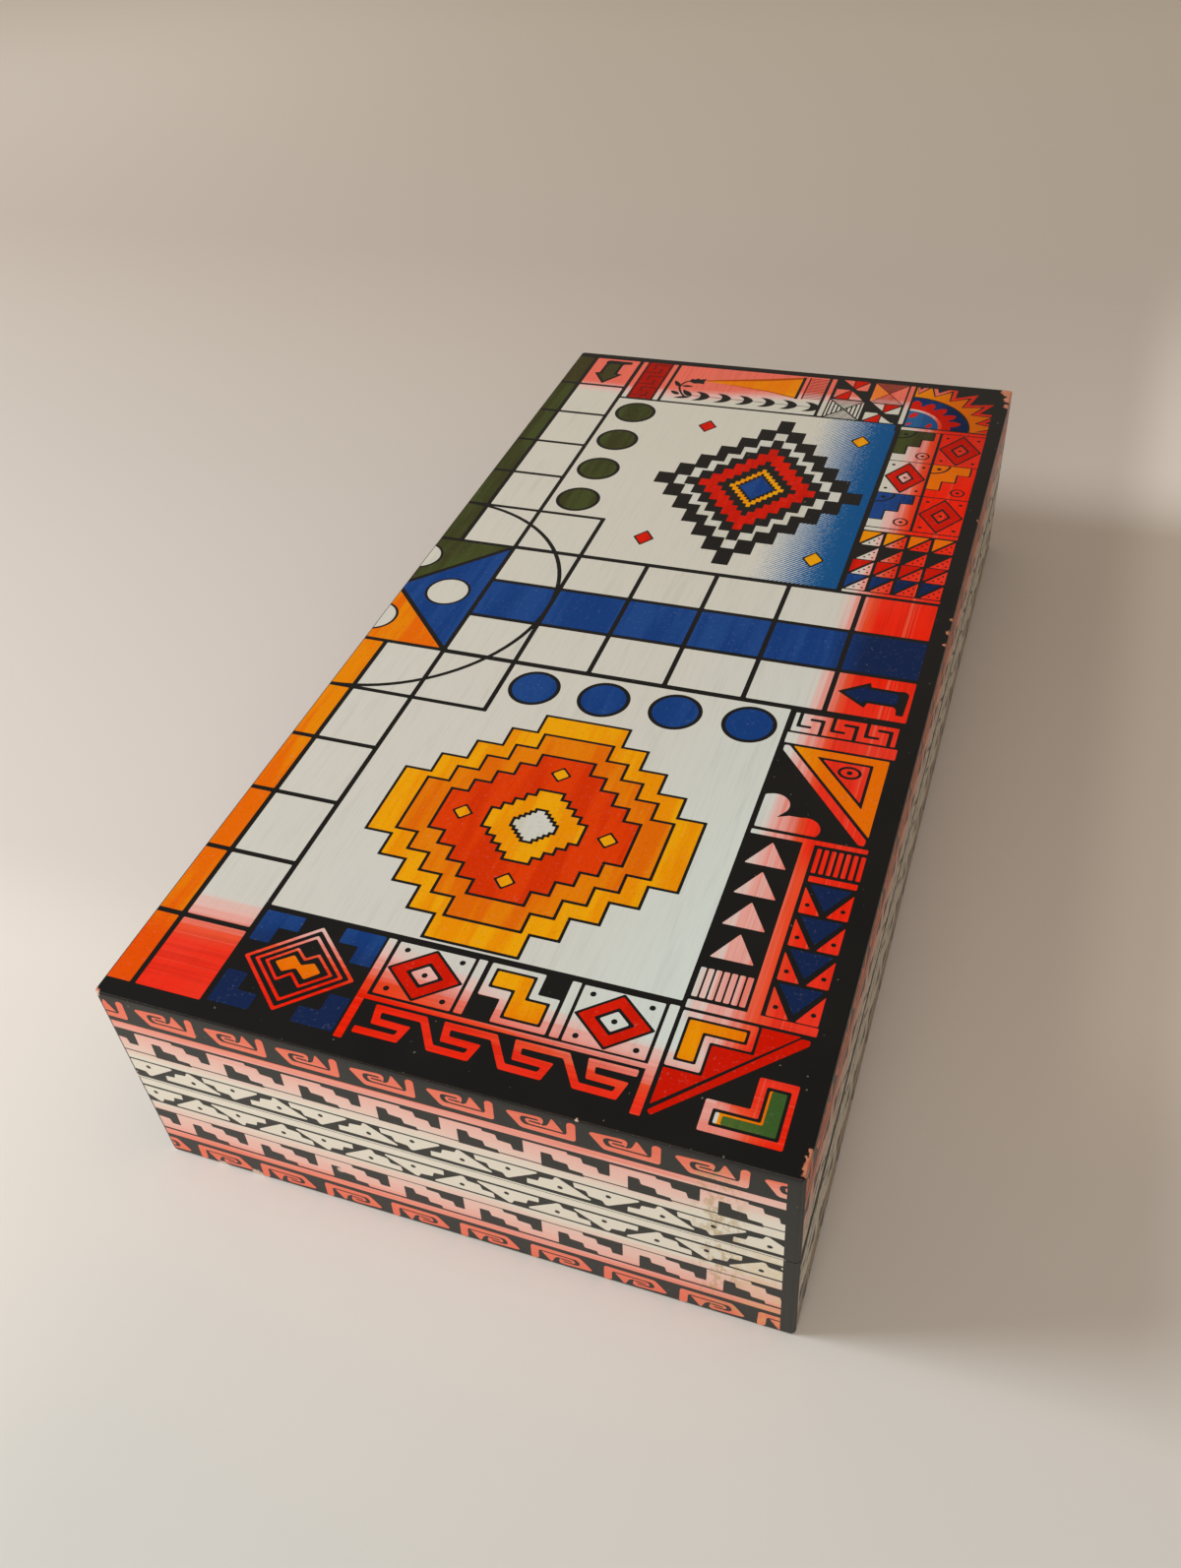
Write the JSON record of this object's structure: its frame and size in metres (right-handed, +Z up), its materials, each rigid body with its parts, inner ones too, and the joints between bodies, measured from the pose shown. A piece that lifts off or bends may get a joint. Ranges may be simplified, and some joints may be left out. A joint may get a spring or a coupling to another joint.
{
  "type": "ludo board",
  "caption": "Folding wooden game box whose hinged halves open flat into a printed ludo board, with counters and dice kept inside.",
  "frame": {"origin": "middle of the flat face that the closed box rests on", "axes": "+X from the hinge side to the opening side, +Y from the front end to the back end, +Z up"},
  "size_m": [0.2005, 0.4002, 0.0787],
  "materials": {
    "wood": "bare, sanded",
    "lacquer_black": "satin lacquer",
    "ink_white": "satin ink",
    "ink_pink": "satin ink",
    "ink_red": "satin ink",
    "ink_green": "satin ink",
    "ink_yellow": "satin ink",
    "ink_blue": "satin ink",
    "brass": "plain",
    "paint_blue": "gloss paint on wood",
    "paint_green": "gloss paint on wood",
    "paint_red": "gloss paint on wood",
    "paint_yellow": "gloss paint on wood",
    "ivory_plastic": "polished"
  },
  "bodies": {
    "lower_half": {"lower_panel": "wood", "lower_front_rail": "wood", "lower_back_rail": "wood", "lower_hinge_rail": "wood", "lower_opening_rail": "wood", "lower_face_black": "lacquer_black", "lower_face_white": "ink_white", "lower_face_red": "ink_red", "lower_face_green": "ink_green", "lower_face_yellow": "ink_yellow", "lower_face_blue": "ink_blue", "lower_side_black": "lacquer_black", "lower_side_white": "ink_white", "lower_side_pink": "ink_pink", "lower_side_red": "ink_red", "front_hinge_lower_leaf": "brass", "back_hinge_lower_leaf": "brass", "front_hinge_pin": "brass", "back_hinge_pin": "brass", "lower_leaf_screws": "brass"},
    "upper_half": {"upper_panel": "wood", "upper_front_rail": "wood", "upper_back_rail": "wood", "upper_hinge_rail": "wood", "upper_opening_rail": "wood", "upper_face_black": "lacquer_black", "upper_face_white": "ink_white", "upper_face_red": "ink_red", "upper_face_green": "ink_green", "upper_face_yellow": "ink_yellow", "upper_face_blue": "ink_blue", "upper_side_black": "lacquer_black", "upper_side_white": "ink_white", "upper_side_pink": "ink_pink", "upper_side_red": "ink_red", "front_hinge_upper_leaf": "brass", "back_hinge_upper_leaf": "brass", "upper_leaf_screws": "brass"},
    "blue_counter_set": {"blue_counters": "paint_blue"},
    "green_counter_set": {"green_counters": "paint_green"},
    "red_counter_set": {"red_counters": "paint_red"},
    "yellow_counter_set": {"yellow_counters": "paint_yellow"},
    "dice_pair": {"dice": "ivory_plastic"}
  },
  "joints": [
    {"name": "board_fold", "type": "hinge", "parent": "lower_half", "child": "upper_half", "pos_m": [-0.0994, 0, 0.03935], "axis": [0, -1, 0], "range_deg": [0, 180]},
    {"name": "blue_counters_lift", "type": "slide", "parent": "lower_half", "child": "blue_counter_set", "axis": [0, 0, 1], "range_m": [0, 0.055]},
    {"name": "green_counters_lift", "type": "slide", "parent": "lower_half", "child": "green_counter_set", "axis": [0, 0, 1], "range_m": [0, 0.055]},
    {"name": "red_counters_lift", "type": "slide", "parent": "lower_half", "child": "red_counter_set", "axis": [0, 0, 1], "range_m": [0, 0.055]},
    {"name": "yellow_counters_lift", "type": "slide", "parent": "lower_half", "child": "yellow_counter_set", "axis": [0, 0, 1], "range_m": [0, 0.055]},
    {"name": "dice_lift", "type": "slide", "parent": "lower_half", "child": "dice_pair", "axis": [0, 0, 1], "range_m": [0, 0.055]}
  ]
}
